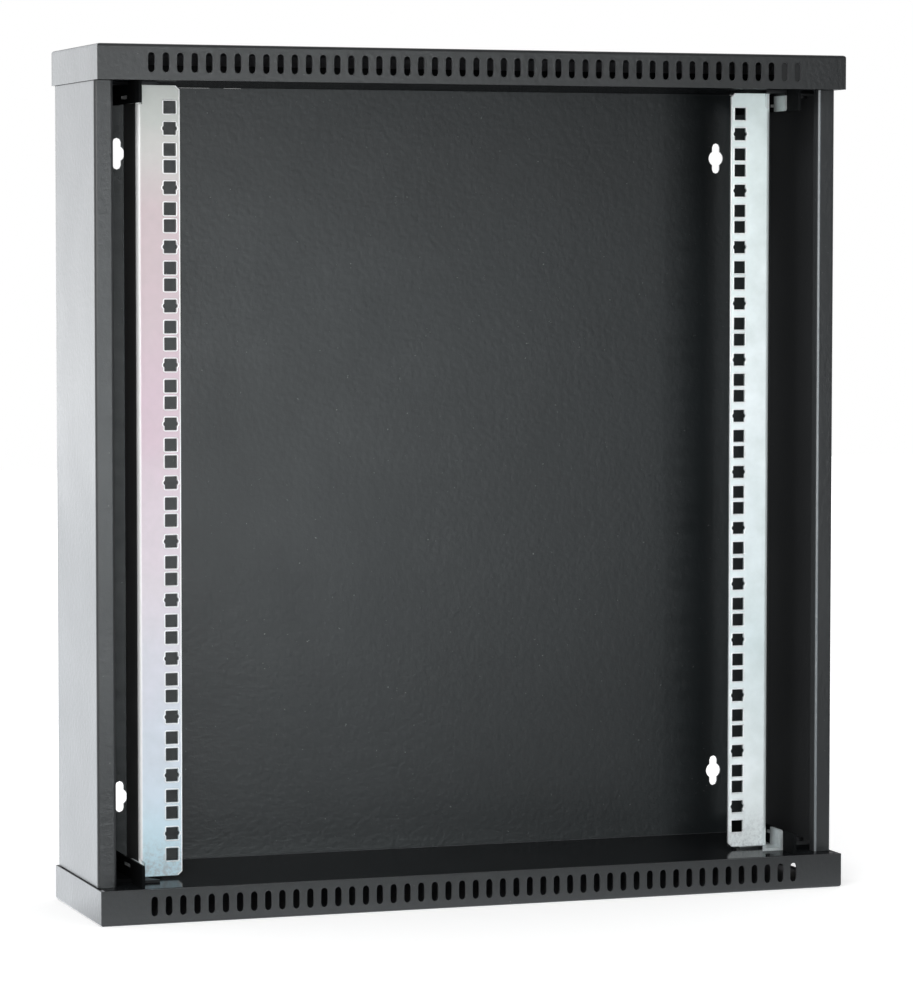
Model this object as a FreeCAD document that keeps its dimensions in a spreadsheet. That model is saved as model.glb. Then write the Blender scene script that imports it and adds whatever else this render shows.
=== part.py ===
import FreeCAD, Part
import math
import os
import re
import Sketcher

# Slim open-fronted wall rack for 19-inch equipment, 13 units high, made of folded steel sheet.
# The origin is the middle of the rear face that lies on the wall: +X to the right as seen
# from the front, the front towards -Y and +Z up. All sizes are in millimetres.

doc = FreeCAD.newDocument("wall_rack")
sheet = doc.addObject("Spreadsheet::Sheet", "Sizes")

# Driving sizes
SIZES = [
    # 19-inch grid of the mounting rails
    ("rack_units", 13),
    ("unit_height", 44.45),
    ("rail_opening", 449.4),
    ("hole_inset", 7.85),
    ("hole_size", 9.5),
    ("outer_hole", 15.875),
    ("notch_length", 11.6),
    ("notch_height", 4.2),
    # cabinet round the rails
    ("side_room", 76.05),
    ("end_room", 11.875),
    ("cab_depth", 142.5),
    ("rail_setback", 49.5),
    # folded covers at the top and the bottom, and the plates that close them
    ("skin", 1.2),
    ("bend", 2.2),
    ("skirt_height", 26.5),
    ("vent_width", 5.2),
    ("vent_height", 15.0),
    ("vent_pitch", 11.05),
    ("vent_margin", 38.0),
    ("vent_from_edge", 13.6),
    ("outlet_length", 34.0),
    ("outlet_height", 9.0),
    ("outlet_from_wall", 46.0),
    ("outlet_from_base", 7.6),
    ("nest_gap", 0.15),
    ("hem_height", 4.4),
    ("inner_flange", 17.0),
    # side panels
    ("panel_inset", 1.8),
    ("panel_setback", 16.9),
    ("panel_flange", 14.6),
    ("panel_return", 7.5),
    ("panel_rear_flange", 22.0),
    ("end_flange", 20.0),
    ("end_flange_margin", 24.0),
    # rear panel
    ("rear_skin", 1.5),
    ("rear_side_gap", 3.2),
    ("rear_end_gap", 0.12),
    ("tab_from_side", 130.75),
    ("tab_width", 11.0),
    ("keyhole_from_side", 50.75),
    ("keyhole_from_end", 77.8),
    ("keyhole_bore", 12.5),
    ("keyhole_slot", 6.6),
    ("keyhole_length", 24.4),
    # section and ends of the rails
    ("rail_face", 33.7),
    ("rail_leg", 38.0),
    ("rail_skin", 2.0),
    ("rail_bend", 3.4),
    ("rail_corner", 3.2),
    ("step_width", 4.5),
    ("step_height", 14.2),
    ("step_slant", 3.9),
    # carrier angles and feet of the rails
    ("bracket_skin", 2.0),
    ("carrier_beside_rail", 8.1),
    ("carrier_height", 16.2),
    ("carrier_nose", 8.5),
    ("carrier_tail", 5.0),
    ("carrier_wing_start", 42.0),
    ("carrier_wing_gap", 0.3),
    ("adjust_slot_length", 18.0),
    ("adjust_slot_height", 3.2),
    ("adjust_slot_drop", 11.2),
    ("adjust_slot_place", 5.0),
    ("foot_setback", 8.5),
    ("foot_rear", 34.0),
    ("foot_toe", 17.5),
    ("foot_inner", 20.0),
    ("foot_plate_height", 26.0),
    ("foot_tab_front", 17.8),
    ("foot_tab_length", 21.0),
    ("foot_tab_height", 14.0),
    ("foot_tab_corner", 2.5),
    # fasteners
    ("bolt_shank", 6.0),
    ("bolt_head", 10.0),
    ("bolt_head_height", 4.0),
    ("nut_height", 5.0),
    ("bolt_end", 2.0),
    ("bolt_inset", 12.4),
    ("bolt_behind", 19.0),
    ("screw_shank", 5.0),
    ("screw_head", 9.5),
    ("screw_head_height", 3.0),
    ("small_nut_width", 8.0),
    ("small_nut_height", 4.0),
    ("panel_screw_inset", 11.0),
    ("panel_screw_margin", 16.0),
    ("rear_screw_inset", 13.5),
    ("rear_screw_margin", 48.8),
    ("hole_play", 0.3),
]

for number, (word, value) in enumerate(SIZES, start=1):
    sheet.set(f"A{number}", word)
    sheet.set(f"B{number}", str(value))
    sheet.setAlias(f"B{number}", word)

# Sizes that follow from the driving ones: lines and levels that several pieces share
SHARED = [
    ("cab_width", "rail_opening + 2 * side_room"),
    ("plate_level", "rack_units * unit_height / 2 + end_room"),
    ("half_height", "plate_level + skirt_height"),
    ("seat_level", "plate_level - bracket_skin"),
    ("vent_count", "floor((cab_width - 2 * vent_margin) / vent_pitch) + 1"),
    ("panel_face", "cab_width / 2 - panel_inset"),
    ("panel_front", "cab_depth - panel_setback"),
    ("tab_place", "cab_width / 2 - tab_from_side"),
    ("keyhole_across", "cab_width / 2 - keyhole_from_side"),
    ("keyhole_up", "half_height - keyhole_from_end"),
    ("rail_front", "cab_depth - rail_setback"),
    ("rail_outer", "rail_opening / 2 + rail_face"),
    ("hole_column", "rail_opening / 2 + hole_inset"),
    ("carrier_face", "rail_outer + carrier_beside_rail"),
    ("tab_face", "carrier_face - bracket_skin"),
    ("bolt_across", "rail_outer - bolt_inset"),
    ("bolt_depth", "rail_front - bolt_behind"),
    ("screw_across", "panel_face - panel_screw_inset"),
    ("rear_screw_across", "panel_face - rear_screw_inset"),
    ("rear_screw_up", "seat_level - rear_screw_margin"),
]

doc.recompute()
for number, (word, formula) in enumerate(SHARED, start=len(SIZES) + 1):
    sheet.set(f"A{number}", word)
    sheet.set(f"B{number}", "=" + formula)
    sheet.setAlias(f"B{number}", word)
    doc.recompute()

SIDES = (("left", -1), ("right", 1))
LEVELS = (("top", 1), ("bottom", -1))
NODES = []

# Straight sides that stand for a circle on small holes, shanks and screw heads
HOLE_SIDES = 12
SHANK_SIDES = 8
HEAD_SIDES = 12
# Turns of the straight steps round one end of a slot
SLOT_TURNS = (-90, -45, 0, 45, 90)


def tied(text):
    """An expression in which each word stands for its cell of the sheet."""
    return re.sub(r"[a-z][a-z_]*", lambda found: "Sizes." + found.group(0), str(text))


def number_of(text):
    return float(sheet.evalExpression(str(text)))


def new_body(name):
    body = doc.addObject("PartDesign::Body", name)
    body.Label = name
    NODES.append(body)
    return body


def new_sketch(body, role, offset):
    """A sketch on one of the body's own origin planes, moved along the plane's normal."""
    plane = [item for item in body.Origin.OriginFeatures if item.Role == role][0]
    sketch = body.newObject("Sketcher::SketchObject", body.Name + "_sketch")
    sketch.AttachmentSupport = [(plane, "")]
    sketch.MapMode = "FlatFace"
    sketch.setExpression("AttachmentOffset.Base.z", tied(offset))
    return sketch


def pin(sketch, geometry, point, across, up):
    """Holds one point of the sketch at a distance from its origin, tied to the sheet."""
    for kind, text in (("DistanceX", across), ("DistanceY", up)):
        rule = Sketcher.Constraint(kind, -1, 1, geometry, point, number_of(text))
        sketch.setExpression(f"Constraints[{sketch.addConstraint(rule)}]", tied(text))


def add_outline(sketch, corners):
    """A closed outline of straight edges through the given corners."""
    spots = [FreeCAD.Vector(number_of(across), number_of(up), 0) for across, up in corners]
    first = sketch.GeometryCount
    for start, end in zip(spots, spots[1:] + spots[:1]):
        sketch.addGeometry(Part.LineSegment(start, end), False)
    for step in range(len(corners)):
        following = first + (step + 1) % len(corners)
        sketch.addConstraint(Sketcher.Constraint("Coincident", first + step, 2, following, 1))
    for step, (across, up) in enumerate(corners):
        pin(sketch, first + step, 1, across, up)


def add_rectangle(sketch, left, right, low, high):
    add_outline(sketch, [(left, low), (right, low), (right, high), (left, high)])


def add_circle(sketch, across, up, diameter):
    centre = FreeCAD.Vector(number_of(across), number_of(up), 0)
    radius = number_of(diameter) / 2
    index = sketch.addGeometry(Part.Circle(centre, FreeCAD.Vector(0, 0, 1), radius), False)
    pin(sketch, index, 3, across, up)
    rule = sketch.addConstraint(Sketcher.Constraint("Diameter", index, radius * 2))
    sketch.setExpression(f"Constraints[{rule}]", tied(diameter))


def add_hole(sketch, across, up, diameter):
    """A small round hole, drawn with straight sides that all keep outside the diameter."""
    corners = []
    for number in range(HOLE_SIDES):
        turn = 2 * math.pi * number / HOLE_SIDES
        corner = 1 / (2 * math.cos(math.pi / HOLE_SIDES))
        corners.append((f"{across} + {corner * math.cos(turn):.6f} * ({diameter})",
                        f"{up} + {corner * math.sin(turn):.6f} * ({diameter})"))
    add_outline(sketch, corners)


def add_slot(sketch, across, up, length, width, upright):
    """A slot about its centre, upright or lying, each end rounded in short steps."""
    corners = []
    for sign in (1, -1):
        for turn in SLOT_TURNS:
            bow = math.cos(math.radians(turn))
            drift = math.sin(math.radians(turn))
            along = f"{sign} * ({length} - {width} + {bow:.6f} * {width}) / 2"
            beside = f"{sign} * {drift:.6f} * {width} / 2"
            if upright:
                corners.append((f"{across} - {beside}", f"{up} + {along}"))
            else:
                corners.append((f"{across} + {along}", f"{up} + {beside}"))
    add_outline(sketch, corners)


def pad(sketch, length, reverse=False, both_ways=False):
    body = sketch.getParentGeoFeatureGroup()
    feature = body.newObject("PartDesign::Pad", body.Name + "_pad")
    feature.Profile = sketch
    feature.setExpression("Length", tied(length))
    feature.Reversed = reverse
    feature.SideType = "Symmetric" if both_ways else "One side"
    doc.recompute()
    return feature


def cut(sketch, length, reverse=False, both_ways=False):
    body = sketch.getParentGeoFeatureGroup()
    before = body.Shape.Volume
    feature = body.newObject("PartDesign::Pocket", body.Name + "_cut")
    feature.Profile = sketch
    feature.setExpression("Length", tied(length))
    feature.Reversed = reverse
    feature.SideType = "Symmetric" if both_ways else "One side"
    doc.recompute()
    if not body.Shape.Volume < before:
        raise RuntimeError(f"{feature.Name} removes nothing")
    return feature


def repeat(body, features, axis, pitch, count):
    """Copies of some features in a row along one axis of the last sketch."""
    pattern = body.newObject("PartDesign::LinearPattern", body.Name + "_row")
    pattern.Originals = features
    pattern.Direction = (features[0].Profile[0], [axis])
    pattern.setExpression("Length", tied(f"{pitch} * ({count} - 1)"))
    pattern.setExpression("Occurrences", tied(count))
    body.Tip = pattern
    doc.recompute()
    return pattern


def edges_at(shape, direction, spots):
    """Names of the straight edges along one axis that pass through the given places."""
    names = []
    axis = {"x": 0, "y": 1, "z": 2}[direction]
    others = [index for index in range(3) if index != axis]
    for number, edge in enumerate(shape.Edges, start=1):
        if edge.Curve.TypeId != "Part::GeomLine" or abs(edge.Curve.Direction[axis]) < 0.999:
            continue
        middle = edge.CenterOfMass
        for spot in spots:
            if all(abs(middle[index] - place) < 0.01 for index, place in zip(others, spot)):
                names.append(f"Edge{number}")
    return names


def round_edges(body, names, radius, kind="Fillet"):
    base = body.Tip
    feature = body.newObject("PartDesign::" + kind, body.Name + "_" + kind.lower())
    feature.Base = (base, names)
    feature.setExpression("Radius" if kind == "Fillet" else "Size", tied(radius))
    doc.recompute()
    return feature


def hollow(body, level, wall):
    """Leaves an even wall and opens the flat face that lies at the given height."""
    base = body.Tip
    names = []
    for number, face in enumerate(base.Shape.Faces, start=1):
        box = face.BoundBox
        if box.ZLength < 0.001 and abs(box.ZMin - number_of(level)) < 0.001:
            names.append(f"Face{number}")
    feature = body.newObject("PartDesign::Thickness", body.Name + "_wall")
    feature.Base = (base, names)
    feature.setExpression("Value", tied(wall))
    feature.Reversed = True
    feature.Join = 0
    doc.recompute()
    return feature


def folded_tray(name, side, front, rear, seat, depth, up, fold):
    """A tray of thin sheet: its floor is at seat + up * depth, its open side at seat."""
    body = new_body(name)
    sketch = new_sketch(body, "XY_Plane", seat)
    add_rectangle(sketch, f"-({side})", side, f"-({front})", f"-({rear})")
    pad(sketch, depth, reverse=(up < 0))
    across = number_of(side)
    floor = number_of(f"{seat} + {up} * {depth}")
    ends = [(-number_of(front), floor), (-number_of(rear), floor)]
    names = edges_at(body.Shape, "x", ends)
    names += edges_at(body.Shape, "y", [(-across, floor), (across, floor)])
    round_edges(body, names, "bend", fold)
    hollow(body, seat, "skin")
    return body


def cover(name, up):
    """Outer cover: a tray whose skirts reach down to the inner plate, its lip vented."""
    body = folded_tray(name, "cab_width / 2", "cab_depth", "0 * skin", f"{up} * plate_level",
                       "skirt_height", up, "Fillet")
    sketch = new_sketch(body, "XZ_Plane", "cab_depth + skin")
    start = "-vent_pitch * (vent_count - 1) / 2"
    add_slot(sketch, start, f"{up} * (half_height - vent_from_edge)", "vent_height",
             "vent_width", True)
    vent = cut(sketch, "3 * skin")
    repeat(body, [vent], "H_Axis", "vent_pitch", "vent_count")
    return body


def cut_outlet(body):
    """Low opening in the right-hand skirt, near the wall, which lets daylight in."""
    sketch = new_sketch(body, "YZ_Plane", "cab_width / 2 + skin")
    add_slot(sketch, "-outlet_from_wall", "outlet_from_base - half_height", "outlet_length",
             "outlet_height", False)
    cut(sketch, "3 * skin")


def inner_plate(name, up):
    """Plate that closes a cover flush with its lip, with flanges turned into the cover."""
    body = folded_tray(name, "cab_width / 2 - skin - nest_gap", "cab_depth - skin - nest_gap",
                       "skin + nest_gap", f"{up} * (plate_level + inner_flange)",
                       "inner_flange", -up, "Chamfer")
    front = new_sketch(body, "YZ_Plane", "0 * skin")
    add_rectangle(front, "-cab_depth", "2 * skin + bend - cab_depth",
                  f"{up} * (plate_level + hem_height)", f"{up} * half_height")
    cut(front, "cab_width", both_ways=True)
    holes = new_sketch(body, "XY_Plane", f"{up} * plate_level")
    for side in (-1, 1):
        add_hole(holes, f"{side} * bolt_across", "-bolt_depth", "bolt_shank + 2 * hole_play")
        for ahead in screw_places():
            add_hole(holes, f"{side} * screw_across", ahead, "screw_shank + 2 * hole_play")
    cut(holes, "6 * skin", both_ways=True)
    return body


def screw_places():
    """Front and rear place of the screws through the end flanges of a side panel."""
    margin = "(end_flange_margin + panel_screw_margin)"
    return (f"{margin} - panel_front", f"-{margin}")


def side_panel(name, side):
    """Folded side: front flange with a return, plain web, rear flange and end flanges."""
    body = new_body(name)
    profile = new_sketch(body, "XY_Plane", "0 * skin")
    face = "panel_face"
    edge = "(panel_face - panel_flange)"
    corners = [
        (face, "-rear_skin"),
        (face, "-panel_front"),
        (edge, "-panel_front"),
        (edge, "panel_return - panel_front"),
        (edge + " + skin", "panel_return - panel_front"),
        (edge + " + skin", "skin - panel_front"),
        (face + " - skin", "skin - panel_front"),
        (face + " - skin", "-rear_skin - skin"),
        (face + " - panel_rear_flange", "-rear_skin - skin"),
        (face + " - panel_rear_flange", "-rear_skin"),
    ]
    add_outline(profile, [(f"{side} * ({across})", up) for across, up in corners])
    pad(profile, "2 * (plate_level - nest_gap)", both_ways=True)
    outer = [0, 1, 2]
    inner = [5, 6, 7]
    spots = [(number_of(f"{side} * ({across})"), number_of(up)) for across, up in corners]
    round_edges(body, edges_at(body.Shape, "z", [spots[step] for step in outer]), "bend")
    round_edges(body, edges_at(body.Shape, "z", [spots[step] for step in inner]), "bend - skin")
    for up in (-1, 1):
        end = new_sketch(body, "XY_Plane", f"{up} * seat_level")
        add_rectangle(end, f"{side} * (panel_face - end_flange)", f"{side} * (panel_face - skin / 2)",
                      "end_flange_margin - panel_front", "-end_flange_margin")
        pad(end, "skin", reverse=(up > 0))
    holes = new_sketch(body, "XY_Plane", "0 * skin")
    for ahead in screw_places():
        add_hole(holes, f"{side} * screw_across", ahead, "screw_shank + 2 * hole_play")
    cut(holes, "3 * seat_level", both_ways=True)
    rear = new_sketch(body, "XZ_Plane", "rear_skin + 2 * skin")
    for up in (-1, 0, 1):
        add_hole(rear, f"{side} * rear_screw_across", f"{up} * rear_screw_up",
                 "screw_shank + 2 * hole_play")
    cut(rear, "3 * skin")
    return body


def rear_panel(name):
    """Flat rear sheet between the inner plates, with two tabs on its top and four keyholes."""
    body = new_body(name)
    sketch = new_sketch(body, "XZ_Plane", "0 * skin")
    side = "(cab_width / 2 - panel_inset - rear_side_gap)"
    near = "(tab_place - tab_width / 2)"
    far = "(tab_place + tab_width / 2)"
    end = "(plate_level - rear_end_gap)"
    upper = [(side, end), (far, end), (far, "plate_level"), (near, "plate_level"), (near, end)]
    corners = upper + [(f"-{across}", up) for across, up in reversed(upper)]
    corners += [(f"-{side}", "-plate_level"), (side, "-plate_level")]
    add_outline(sketch, corners)
    pad(sketch, "rear_skin")
    bores = new_sketch(body, "XZ_Plane", "2 * rear_skin")
    slots = new_sketch(body, "XZ_Plane", "2 * rear_skin")
    holes = new_sketch(body, "XZ_Plane", "2 * rear_skin")
    for side_sign in (-1, 1):
        for up in (-1, 1):
            across = f"{side_sign} * keyhole_across"
            height = f"{up} * keyhole_up"
            add_circle(bores, across, height, "keyhole_bore")
            add_slot(slots, across, height, "keyhole_length", "keyhole_slot", True)
        for up in (-1, 0, 1):
            add_hole(holes, f"{side_sign} * rear_screw_across", f"{up} * rear_screw_up",
                     "screw_shank + 2 * hole_play")
    for sketch in (bores, slots, holes):
        cut(sketch, "3 * rear_skin")
    return body


def rail(name, side):
    """Rail angle with square holes on the 19-inch grid; one part, turned over for each side."""
    body = new_body(name)
    profile = new_sketch(body, "XY_Plane", "0 * skin")
    corners = [
        ("rail_opening / 2", "-rail_front"),
        ("rail_outer", "-rail_front"),
        ("rail_outer", "rail_leg - rail_front"),
        ("rail_outer - rail_skin", "rail_leg - rail_front"),
        ("rail_outer - rail_skin", "rail_skin - rail_front"),
        ("rail_opening / 2", "rail_skin - rail_front"),
    ]
    add_outline(profile, [(f"{side} * ({across})", up) for across, up in corners])
    pad(profile, "2 * seat_level", both_ways=True)
    spots = [(number_of(f"{side} * ({across})"), number_of(up)) for across, up in corners]
    round_edges(body, edges_at(body.Shape, "z", [spots[1]]), "rail_bend")
    round_edges(body, edges_at(body.Shape, "z", [spots[4]]), "rail_bend - rail_skin")
    step = new_sketch(body, "XZ_Plane", "rail_front + rail_skin")
    inner = f"{side} * (rail_outer - step_width)"
    outer = f"{side} * (rail_outer + rail_skin)"
    edge = f"{side} * rail_outer"
    square = f"{-side} * (seat_level - step_height)"
    slanted = f"{side} * (seat_level - step_height)"
    add_outline(step, [(inner, square), (outer, square), (outer, f"{-side} * plate_level"),
                       (inner, f"{-side} * plate_level")])
    add_outline(step, [(inner, f"{slanted} + {side} * step_slant"), (edge, slanted),
                       (outer, slanted), (outer, f"{side} * plate_level"),
                       (inner, f"{side} * plate_level")])
    cut(step, "2 * rail_skin")
    end = number_of("seat_level")
    across = number_of(f"{side} * rail_opening / 2")
    names = edges_at(body.Shape, "y", [(across, end), (across, -end)])
    round_edges(body, names, "rail_corner", "Chamfer")
    squares = new_sketch(body, "XZ_Plane", "rail_front + rail_skin")
    centre = f"{side} * hole_column"
    lowest = "(unit_height / 2 - rack_units * unit_height / 2)"
    for shift in ("- outer_hole", "+ 0 * outer_hole", "+ outer_hole"):
        add_rectangle(squares, f"{centre} - hole_size / 2", f"{centre} + hole_size / 2",
                      f"{lowest} {shift} - hole_size / 2", f"{lowest} {shift} + hole_size / 2")
    square_cut = cut(squares, "3 * rail_skin")
    marks = new_sketch(body, "XZ_Plane", "rail_front + rail_skin")
    add_slot(marks, centre, lowest, "notch_length", "notch_height", False)
    mark_cut = cut(marks, "3 * rail_skin")
    repeat(body, [square_cut, mark_cut], "V_Axis", "unit_height", "rack_units")
    return body


def carrier(name, side, up):
    """Front-to-back angle on an inner plate: an upright leg and a wing under the panel."""
    body = new_body(name)
    section = new_sketch(body, "XZ_Plane", "cab_depth - skin - carrier_nose")
    corners = [
        ("tab_face", "plate_level"),
        ("panel_face - skin - carrier_wing_gap", "plate_level"),
        ("panel_face - skin - carrier_wing_gap", "seat_level"),
        ("carrier_face", "seat_level"),
        ("carrier_face", "plate_level - carrier_height"),
        ("tab_face", "plate_level - carrier_height"),
    ]
    add_outline(section, [(f"{side} * ({across})", f"{up} * ({high})") for across, high in corners])
    pad(section, "cab_depth - skin - carrier_nose - carrier_tail", reverse=True)
    wing = new_sketch(body, "XY_Plane", f"{up} * plate_level")
    add_rectangle(wing, f"{side} * carrier_face", f"{side} * panel_face",
                  "-cab_depth", "carrier_wing_start - cab_depth")
    cut(wing, "3 * bracket_skin", both_ways=True)
    slot = new_sketch(body, "YZ_Plane", f"{side} * carrier_face")
    add_slot(slot, "adjust_slot_place - rail_front", f"{up} * (plate_level - adjust_slot_drop)",
             "adjust_slot_length", "adjust_slot_height", False)
    cut(slot, "3 * bracket_skin", both_ways=True)
    holes = new_sketch(body, "XY_Plane", f"{up} * plate_level")
    for ahead in screw_places():
        add_hole(holes, f"{side} * screw_across", ahead, "screw_shank + 2 * hole_play")
    cut(holes, "3 * bracket_skin", both_ways=True)
    return body


def foot(name, side, up):
    """Foot of a rail: base on the inner plate, a tab at the carrier, an angle inside the rail."""
    body = new_body(name)
    base = new_sketch(body, "XY_Plane", f"{up} * plate_level")
    inner = "rail_outer - foot_inner"
    front = "-rail_front - foot_tab_front"
    rear = "foot_rear - rail_front"
    corners = [
        ("tab_face", front),
        ("tab_face", rear),
        (inner, rear),
        (inner, "foot_setback - rail_front"),
        ("rail_outer", "foot_setback - rail_front"),
        ("tab_face - foot_toe", front),
    ]
    add_outline(base, [(f"{side} * ({across})", ahead) for across, ahead in corners])
    pad(base, "bracket_skin", reverse=(up > 0))
    tab = new_sketch(body, "YZ_Plane", f"{side} * tab_face")
    add_rectangle(tab, front, f"{front} + foot_tab_length",
                  f"{up} * (seat_level + bracket_skin / 2)", f"{up} * (seat_level - foot_tab_height)")
    pad(tab, "bracket_skin", reverse=(side > 0))
    end = number_of(front)
    tip = number_of(f"{up} * (seat_level - foot_tab_height)")
    round_edges(body, edges_at(body.Shape, "x", [(end, tip)]), "foot_tab_corner")
    angle = new_sketch(body, "XY_Plane", f"{up} * seat_level")
    ear = "rail_outer - rail_skin"
    corners = [
        (inner, "rail_skin - rail_front"),
        ("rail_outer - rail_bend", "rail_skin - rail_front"),
        (ear, "rail_bend - rail_front"),
        (ear, rear),
        (f"{ear} - bracket_skin", rear),
        (f"{ear} - bracket_skin", "rail_skin + bracket_skin - rail_front"),
        (inner, "rail_skin + bracket_skin - rail_front"),
    ]
    add_outline(angle, [(f"{side} * ({across})", ahead) for across, ahead in corners])
    pad(angle, "foot_plate_height", reverse=(up > 0))
    hole = new_sketch(body, "XY_Plane", f"{up} * plate_level")
    add_hole(hole, f"{side} * bolt_across", "-bolt_depth", "bolt_shank + 2 * hole_play")
    cut(hole, "3 * bracket_skin", both_ways=True)
    return body


def place(item, across, ahead, height):
    for axis, text in (("x", across), ("y", ahead), ("z", height)):
        item.setExpression("Placement.Base." + axis, tied(text))


def block(name, sides, width, length, across, ahead, height, turn=None):
    """An upright block with even sides; the width is measured across its flats."""
    item = doc.addObject("Part::Prism", name)
    item.Polygon = sides
    item.setExpression("Circumradius", tied(f"({width}) / 2") + f" / cos({180 / sides} deg)")
    item.setExpression("Height", tied(length))
    if turn:
        item.Placement.Rotation = turn
    place(item, across, ahead, height)
    return item


def joined(name, first, second):
    item = doc.addObject("Part::Fuse", name)
    item.Base = first
    item.Tool = second
    return item


def bored(name, block, core):
    item = doc.addObject("Part::Cut", name)
    item.Base = block
    item.Tool = core
    return item


def group(name, members):
    item = doc.addObject("Part::Compound", name)
    item.Label = name
    item.Links = members
    NODES.append(item)
    return item


def lowest_of(up, level, thickness):
    """Lower face of a piece that starts at a level and grows away from the middle by up."""
    if up > 0:
        return level
    return f"-({level}) - {thickness}"


def foot_bolts():
    """Hexagon bolts through the feet and the inner plates, and their nuts in the covers."""
    reach = "(bracket_skin + skin + nut_height + bolt_end)"
    bolts = []
    nuts = []
    for side_name, side in SIDES:
        for level_name, up in LEVELS:
            tag = f"{level_name}_{side_name}"
            spot = (f"{side} * bolt_across", "-bolt_depth")
            head = block(f"bolt_head_{tag}", 6, "bolt_head", "bolt_head_height", *spot,
                         lowest_of(up, "seat_level - bolt_head_height", "bolt_head_height"))
            shank = block(f"bolt_shank_{tag}", SHANK_SIDES, "bolt_shank", reach, *spot,
                          lowest_of(up, "seat_level", reach))
            bolts.append(joined(f"bolt_{tag}", head, shank))
            nuts.append(nut(tag, "bolt_head", "nut_height", "bolt_shank", spot, up))
    group("foot_bolts", bolts)
    group("foot_nuts", nuts)


def nut(tag, width, length, shank, spot, up):
    """A hexagon nut that seats on the cover side of an inner plate."""
    seat = "plate_level + skin"
    outer = block(f"nut_block_{tag}", 6, width, length, *spot, lowest_of(up, seat, length))
    core = block(f"nut_core_{tag}", SHANK_SIDES, f"{shank} + hole_play", f"3 * {length}", *spot,
                 lowest_of(up, f"{seat} - {length}", f"3 * {length}"))
    return bored(f"nut_{tag}", outer, core)


def panel_screws():
    """Round-headed screws through the end flanges of the side panels, and their nuts."""
    reach = "(bracket_skin + 2 * skin + small_nut_height + bolt_end)"
    under = "seat_level - skin"
    screws = []
    nuts = []
    for side_name, side in SIDES:
        for level_name, up in LEVELS:
            for number, ahead in enumerate(screw_places(), start=1):
                tag = f"{level_name}_{side_name}_{number}"
                spot = (f"{side} * screw_across", ahead)
                head = block(f"screw_head_{tag}", HEAD_SIDES, "screw_head", "screw_head_height",
                             *spot, lowest_of(up, f"{under} - screw_head_height",
                                              "screw_head_height"))
                shank = block(f"screw_shank_{tag}", SHANK_SIDES, "screw_shank", reach, *spot,
                              lowest_of(up, under, reach))
                screws.append(joined(f"screw_{tag}", head, shank))
                nuts.append(nut(tag, "small_nut_width", "small_nut_height", "screw_shank", spot, up))
    group("panel_screws", screws)
    group("panel_nuts", nuts)


def rear_screws():
    """Screws from inside through the rear flanges into the rear panel, ends short of the wall."""
    turn = FreeCAD.Rotation(FreeCAD.Vector(1, 0, 0), -90)
    flange = "-rear_skin - skin"
    screws = []
    for side_name, side in SIDES:
        for number, up in enumerate((-1, 0, 1), start=1):
            tag = f"{side_name}_{number}"
            across = f"{side} * rear_screw_across"
            height = f"{up} * rear_screw_up"
            head = block(f"rear_head_{tag}", HEAD_SIDES, "screw_head", "screw_head_height", across,
                         f"{flange} - screw_head_height", height, turn)
            shank = block(f"rear_shank_{tag}", SHANK_SIDES, "screw_shank",
                          "rear_skin + skin - hole_play", across, flange, height, turn)
            screws.append(joined(f"rear_screw_{tag}", head, shank))
    group("rear_screws", screws)


def check_and_write():
    doc.recompute()
    for item in doc.Objects:
        if "Invalid" in item.State or "Error" in item.State:
            raise RuntimeError(f"{item.Name} did not recompute: {item.State}")
    os.makedirs("parts", exist_ok=True)
    for node in NODES:
        if node.Shape.isNull() or not node.Shape.isValid():
            raise RuntimeError(f"{node.Label} has no valid shape")
        node.Shape.exportStep(f"parts/{node.Label}.step")
        print(f"{node.Label}: {len(node.Shape.Solids)} solid(s), {node.Shape.Volume / 1000:.1f} cm3")


cover("top_cover", 1)
cut_outlet(cover("bottom_cover", -1))
inner_plate("top_inner_plate", 1)
inner_plate("bottom_inner_plate", -1)
for side_name, side in SIDES:
    side_panel(f"{side_name}_side_panel", side)
rear_panel("rear_panel")
for side_name, side in SIDES:
    rail(f"{side_name}_rail", side)
for level_name, up in LEVELS:
    for side_name, side in SIDES:
        carrier(f"{level_name}_{side_name}_carrier", side, up)
        foot(f"{level_name}_{side_name}_foot", side, up)
foot_bolts()
panel_screws()
rear_screws()
check_and_write()
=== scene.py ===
import math

import bpy
from mathutils import Matrix, Vector


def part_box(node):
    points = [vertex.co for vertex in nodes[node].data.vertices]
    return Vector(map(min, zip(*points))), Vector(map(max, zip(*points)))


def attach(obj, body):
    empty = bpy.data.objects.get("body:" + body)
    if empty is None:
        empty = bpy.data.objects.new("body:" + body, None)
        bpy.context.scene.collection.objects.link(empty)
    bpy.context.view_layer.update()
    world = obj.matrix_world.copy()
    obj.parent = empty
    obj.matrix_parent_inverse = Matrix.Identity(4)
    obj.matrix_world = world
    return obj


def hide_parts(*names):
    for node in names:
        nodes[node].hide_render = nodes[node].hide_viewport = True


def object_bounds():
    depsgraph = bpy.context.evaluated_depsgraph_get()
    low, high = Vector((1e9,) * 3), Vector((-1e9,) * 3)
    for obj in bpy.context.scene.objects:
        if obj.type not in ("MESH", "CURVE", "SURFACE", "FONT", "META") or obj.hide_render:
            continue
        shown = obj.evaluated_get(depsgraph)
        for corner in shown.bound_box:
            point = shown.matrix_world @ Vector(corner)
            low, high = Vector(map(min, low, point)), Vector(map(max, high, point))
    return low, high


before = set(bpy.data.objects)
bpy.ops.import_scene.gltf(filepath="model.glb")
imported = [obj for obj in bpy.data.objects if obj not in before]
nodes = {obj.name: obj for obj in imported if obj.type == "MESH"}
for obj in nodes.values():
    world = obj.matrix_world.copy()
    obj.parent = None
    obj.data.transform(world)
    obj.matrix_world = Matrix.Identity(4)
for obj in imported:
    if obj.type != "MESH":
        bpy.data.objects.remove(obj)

cad_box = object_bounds()


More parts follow.
